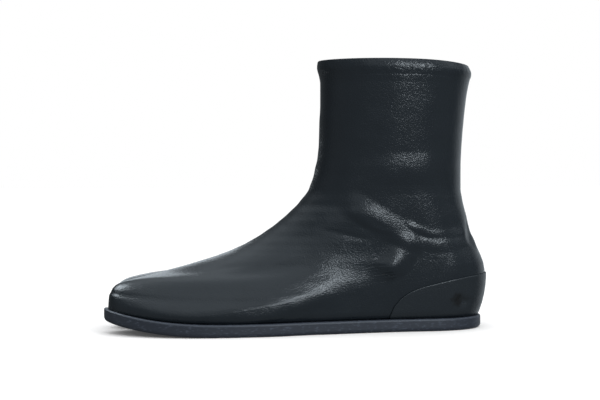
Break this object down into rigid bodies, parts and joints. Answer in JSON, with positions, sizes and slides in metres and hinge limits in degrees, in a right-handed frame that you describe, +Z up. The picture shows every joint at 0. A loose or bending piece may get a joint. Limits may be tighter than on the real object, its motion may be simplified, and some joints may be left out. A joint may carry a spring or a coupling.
{
  "type": "split-toe leather ankle boot",
  "caption": "Left split-toe ankle boot: a hollow black leather upper with a cleft between the big toe and the others, a leather heel counter, and a flat split sole.",
  "frame": {"origin": "on the floor, under the middle of the whole boot's box; the sole's flat underside lies at Z 0", "axes": "+X to the toes, +Y to the outer side of the foot, +Z up through the collar"},
  "size_m": [0.2934, 0.1009, 0.2035],
  "materials": {
    "upper_leather": "black, fine pebble grain, satin gloss",
    "counter_leather": "black, fine pebble grain, satin gloss",
    "sole_rubber": "matte dark blue-grey",
    "insole_leather": "matte dark brown lining leather"
  },
  "bodies": {
    "root": {"upper": "upper_leather", "heel_counter": "counter_leather", "outsole": "sole_rubber", "insole": "insole_leather"}
  },
  "joints": []
}
